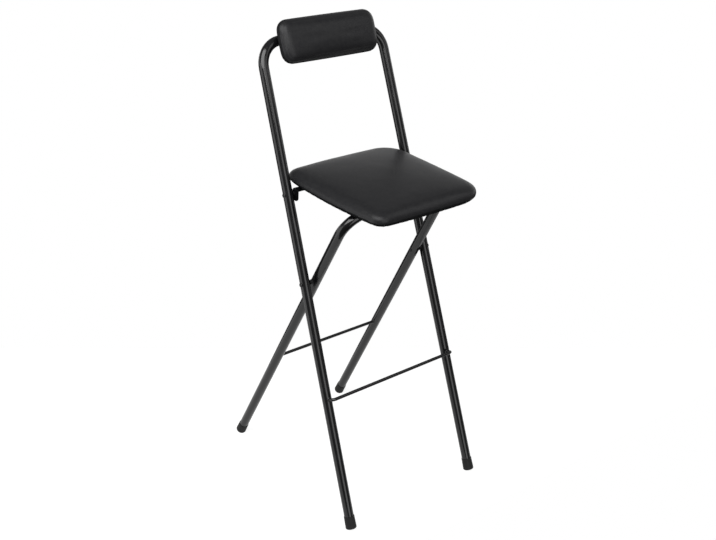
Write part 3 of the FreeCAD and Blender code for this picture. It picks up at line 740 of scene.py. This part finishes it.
seat = {
    "rear": 40.5, "depth": 317.5, "rearHalf": 151.9, "frontHalf": 145.4,
    "bows": (0.5, 8.5, 9.2, 8.5),       # front, right, rear, left
    "radii": (28.0, 53.0, 61.0, 30.0),  # front left, front right, rear right, rear left
    "leastCorner": 6.0,
    "rise": 12.2,       # underside above the hinge
    "rim": 28.0,        # height of the edge
    "waist": 14.5,      # height of its widest line
    "tuck": 17.5,       # how far the edge goes in below the waist
    "roundOver": 1.5,   # how much wider than high the rim's upper curve is
    "crown": 12.0,
    "domePower": 0.65,  # below 1 the crown rises sooner from the edge
    "middle": (0.0, -118.2), "halfSize": (157.5, 166.0),  # of the crown
    # rings of the underside and the face, by how far inside the outline they lie
    "underRings": (120.0, 70.0, 36.0), "topRings": (16, 22, 30, 42, 56, 72, 90, 110, 128),
    "slack": -0.7,      # drawn this much smaller, to be puffed out
    "cell": 4.2,
    "cap": 2.2, "spread": 0.4,  # most swelling, and the share of it that goes sideways
    "evenSwell": 60,    # rounds of smoothing over the swelling
    "evened": 5,        # rounds of smoothing over the remeshed cells
    "hem": 30.0, "underLevel": 0.5,
    "pleatStep": (27.0, 7.0),  # along a side and at a corner
    "pleatWidth": (1.6, 3.0), "pleatDepth": 0.9,
    "edgeTop": 13.5,    # the leather is drawn without shine below this, as painted shade under the rim
    "bandTop": 9.0, "bandInset": 0.9, "creaseDepth": 0.9,  # edge of the board under the skin
    "uneven": 0.6, "seed": 4,
}


def seatOutline(v, inset, count):
    rear, front = v["rear"] - inset, v["rear"] - v["depth"] + inset
    rearHalf, frontHalf = v["rearHalf"] - inset, v["frontHalf"] - inset
    corners = [(-frontHalf, front), (frontHalf, front), (rearHalf, rear), (-rearHalf, rear)]
    bows = [bow * (1 - inset / (v["depth"] / 2)) for bow in v["bows"]]
    radii = [max(radius - skin["tighten"] * inset, v["leastCorner"]) for radius in v["radii"]]
    return bowedOutline(corners, bows, radii, count)


seat["outline"] = seatOutline
seatCushion = makeCushion("seat_cushion", seat, seatPlace @ Matrix.Translation((0, 0, seat["rise"])))
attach(seatCushion, "seat")
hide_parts("seat_cover", "seat_foam")


# Back pad

backPad = {
    "half": 128.1, "halfHeight": 46.6, "corner": 25.0, "leastCorner": 3.0, "bow": 0.8,
    "level": 516.08,    # its middle along the frame, from the main pivot
    "behind": 11.0,     # its back lies on the tube's front
    "rim": 27.0, "waist": 10.0, "tuck": 8.0, "roundOver": 1.2,
    "crown": 10.5, "domePower": 0.75,
    "middle": (0.0, 0.0), "halfSize": (129.0, 47.5),
    "underRings": (30.0, 20.0, 12.0), "topRings": (18, 22, 27, 32, 38),
    "slack": -1.0, "cell": 3.6,
    "cap": 1.8, "spread": 0.5, "evenSwell": 40, "evened": 5,
    "hem": 16.0, "underLevel": 0.4,
    "pleatStep": (24.0, 6.0), "pleatWidth": (1.5, 2.6), "pleatDepth": 1.1,
    "lineInset": 8.0, "lineDepth": 0.9,
    "edgeTop": 17.0, "bandTop": 5.0, "bandInset": 0.8, "creaseDepth": 0.6,
    "uneven": 0.6, "seed": 11,
}


def padOutline(v, inset, count):
    half, high = v["half"] - inset, v["halfHeight"] - inset
    corners = [(-half, -high), (half, -high), (half, high), (-half, high)]
    bow = v["bow"] * (1 - inset / v["halfHeight"])
    radius = max(v["corner"] - skin["tighten"] * inset, v["leastCorner"])
    return bowedOutline(corners, [bow] * 4, [radius] * 4, count)


backPad["outline"] = padOutline
padPlace = frontPlace @ Matrix.Translation((0, -backPad["behind"], backPad["level"])) @ outOfBack
padCushion = makeCushion("back_cushion", backPad, padPlace)
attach(padCushion, "front_frame")
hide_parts("back_pad_cover", "back_pad_foam")


# Weld beads where the rods meet the legs

weld = {
    "rod": 3.75, "tube": 11.0, "bead": 1.6,  # radii
    "bite": 0.25,   # how far its middle stands off the rod, in bead radii
    "around": 28, "section": 10,
    "lump": 0.28, "lumps": 2.2,  # height and crowding of the lumps
    # middle of the leg where the rod meets it, sideways and up the leg from the main pivot
    "footrest": {"x": 178.33, "along": -261.63, "seed": 3},
    "stretcher": {"x": 151.75, "along": -288.03, "seed": 8},
}


def weldBead(v, centre, outward, seed):
    # a lumpy ring round a rod, laid on the round face of an upright tube, which the rod leaves outward
    outward, upright = Vector(outward), Vector((0, 0, 1))
    across = outward.cross(upright)
    reach = v["rod"] + v["bite"] * v["bead"]
    around, section = v["around"], v["section"]
    points, faces = [], []
    for i in range(around):
        a = 2 * math.pi * i / around
        radial = upright * math.cos(a) + across * math.sin(a)
        lumps = noise.noise(Vector((math.cos(a) * v["lumps"], math.sin(a) * v["lumps"], seed)))
        thick = v["bead"] * (1 + v["lump"] * lumps)
        sink = v["tube"] - math.sqrt(v["tube"] ** 2 - (math.sin(a) * reach) ** 2)
        ring = Vector(centre) + radial * reach - outward * sink
        for j in range(section):
            b = 2 * math.pi * j / section
            points.append(ring + (radial * math.cos(b) + outward * math.sin(b)) * thick)
            here, there = i * section, (i + 1) % around * section
            n = (j + 1) % section
            faces.append((here + j, there + j, there + n, here + n))
    return points, faces


def weldPiece(name, place, beads, body):
    points, faces = [], []
    for beadPoints, beadFaces in beads:
        faces += [tuple(len(points) + k for k in face) for face in beadFaces]
        points += beadPoints
    mesh = bpy.data.meshes.new(name)
    mesh.from_pydata(points, [], faces)
    mesh.transform(place)
    outwards = bmesh.new()
    outwards.from_mesh(mesh)
    bmesh.ops.recalc_face_normals(outwards, faces=outwards.faces)
    outwards.to_mesh(mesh)
    outwards.free()
    mesh.shade_smooth()
    mesh.materials.append(powder)
    piece = bpy.data.objects.new(name, mesh)
    scene.collection.objects.link(piece)
    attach(piece, body)


foot, bar, tube = weld["footrest"], weld["stretcher"], weld["tube"]
footBeads = [weldBead(weld, (s * foot["x"], -tube, foot["along"]), (0, -1, 0), foot["seed"] + s)
             for s in (-1, 1)]
barBeads = [weldBead(weld, (s * (bar["x"] - tube), 0, bar["along"]), (-s, 0, 0), bar["seed"] + s)
            for s in (-1, 1)]
weldPiece("footrest_welds", frontPlace, footBeads, "front_frame")
weldPiece("stretcher_welds", rearPlace, barBeads, "rear_frame")
print("weld beads made")


# Studio: a sheet of white paper that keeps the stool's shadow, a pale sweep behind and four soft lamps

studio = {
    # corners of the sheet in metres right of the stool and behind it
    "paper": ((-1.3, -1.45), (1.3, 0.55), (-1.3, 0.55)),
    "paperColour": "#8f8f8f",
    "paperLift": {"lens": 0.85, "gloss": 0.62},  # seen of the paper on top of the light that falls on it
    "fill": (0.08, 0.25),  # world light on the stool, from straight below to straight above
    "room": (0.09, 0.20),  # what gloss sees of the room, below the horizon and above it
    "horizon": (-0.25, 0.0),  # slopes between which the one becomes the other
    "sweep": 1.6,          # what gloss sees low behind the stool
    "sweepSides": (0.0, 0.45), "sweepTop": (0.0, 0.38), "sweepFoot": (-0.08, 0.0),  # slopes where it fades
    "aim": 0.62,           # height that the lamps point at
    # turn is in degrees round the stool from straight behind it, clockwise from above
    "frontBox": {"turn": 152, "away": 2.4, "height": 1.0, "size": (1.4, 3.0), "glow": 1.9},
    "leftBox": {"turn": -110, "away": 2.6, "height": 0.35, "size": (2.2, 2.5), "glow": 1.4},
    "topBox": {"turn": -152, "away": 1.8, "height": 2.45, "size": (2.9, 2.1), "glow": 4.8},
    "rightBox": {"turn": 100, "away": 1.9, "height": 2.1, "size": (1.4, 1.2), "glow": 1.1},
}


def mixLevels(tree, factor, first, second):
    # each is a socket or a plain number
    node = addNode(tree, "ShaderNodeMix", {"data_type": "FLOAT"}, {0: factor})
    for key, level in ((2, first), (3, second)):
        if isinstance(level, float):
            node.inputs[key].default_value = level
        else:
            tree.links.new(level, node.inputs[key])
    return node.outputs[0]


def seenBy(tree):
    # what the lens sees, and what gloss and glass see
    path = addNode(tree, "ShaderNodeLightPath").outputs
    return path["Is Camera Ray"], worked(tree, "MAXIMUM", path["Is Glossy Ray"], path["Is Transmission Ray"])


def addFloor(v):
    mesh = bpy.data.meshes.new("floor")
    corners = [tuple(sideways * a + inward * b) for a, b in v["paper"]]
    mesh.from_pydata(corners, [], [tuple(range(len(corners)))])
    floor = bpy.data.objects.new("floor", mesh)
    scene.collection.objects.link(floor)
    material = bpy.data.materials.new("matt white paper")
    material.use_nodes = True
    tree = material.node_tree
    tree.nodes.remove(tree.nodes["Principled BSDF"])
    paint = addNode(tree, "ShaderNodeBsdfDiffuse", {"Color": fromHex(v["paperColour"])})
    lens, shiny = seenBy(tree)
    toGloss = worked(tree, "MULTIPLY", shiny, v["paperLift"]["gloss"])
    toLens = worked(tree, "MULTIPLY", lens, v["paperLift"]["lens"])
    lift = addNode(tree, "ShaderNodeEmission", {"Color": (1, 1, 1, 1)},
                   {"Strength": worked(tree, "ADD", toGloss, toLens)})
    both = addNode(tree, "ShaderNodeAddShader", {}, {0: paint.outputs[0], 1: lift.outputs[0]})
    tree.links.new(both.outputs[0], tree.nodes["Material Output"].inputs["Surface"])
    mesh.materials.append(material)


def addWorld(v):
    world = bpy.data.worlds.new("studio")
    scene.world = world
    world.use_nodes = True
    tree = world.node_tree
    lens, shiny = seenBy(tree)
    way = addNode(tree, "ShaderNodeTexCoord").outputs["Generated"]
    height = addNode(tree, "ShaderNodeSeparateXYZ", {}, {0: way}).outputs["Z"]
    # the sweep stands behind the stool: pale near the floor, then the dim room
    behind = addNode(tree, "ShaderNodeVectorMath", {"operation": "DOT_PRODUCT", 1: inward}, {0: way})
    back = ranged(tree, behind.outputs["Value"], v["sweepSides"], (0.0, 1.0))
    high = ranged(tree, height, v["sweepTop"], (1.0, 0.0))
    low = ranged(tree, height, v["sweepFoot"], (0.0, 1.0))
    sweep = worked(tree, "MULTIPLY", back, worked(tree, "MULTIPLY", high, low))
    room = ranged(tree, height, v["horizon"], v["room"])
    fill = ranged(tree, height, (-1.0, 1.0), v["fill"])
    lit = mixLevels(tree, shiny, fill, mixLevels(tree, sweep, room, v["sweep"]))
    shine = tree.nodes["Background"].inputs
    shine["Color"].default_value = (1, 1, 1, 1)
    tree.links.new(mixLevels(tree, lens, lit, 1.0), shine["Strength"])


def addSoftBox(name, v, aim):
    turn = math.radians(v["turn"])
    way = inward * math.cos(turn) + sideways * math.sin(turn)
    lamp = bpy.data.lights.new(name, "AREA")
    lamp.shape = "RECTANGLE"
    lamp.size, lamp.size_y = v["size"]
    lamp.energy = v["glow"] * v["size"][0] * v["size"][1] * math.pi
    holder = bpy.data.objects.new(name, lamp)
    holder.location = way * v["away"] + Vector((0, 0, v["height"]))
    aimed = Vector((0, 0, aim)) - holder.location
    holder.rotation_euler = aimed.to_track_quat("-Z", "Y").to_euler()
    holder.visible_camera = False
    scene.collection.objects.link(holder)


addFloor(studio)
addWorld(studio)
for box in ("frontBox", "leftBox", "topBox", "rightBox"):
    addSoftBox(box, studio[box], studio["aim"])
scene.view_settings.view_transform = "Standard"
print("studio set")
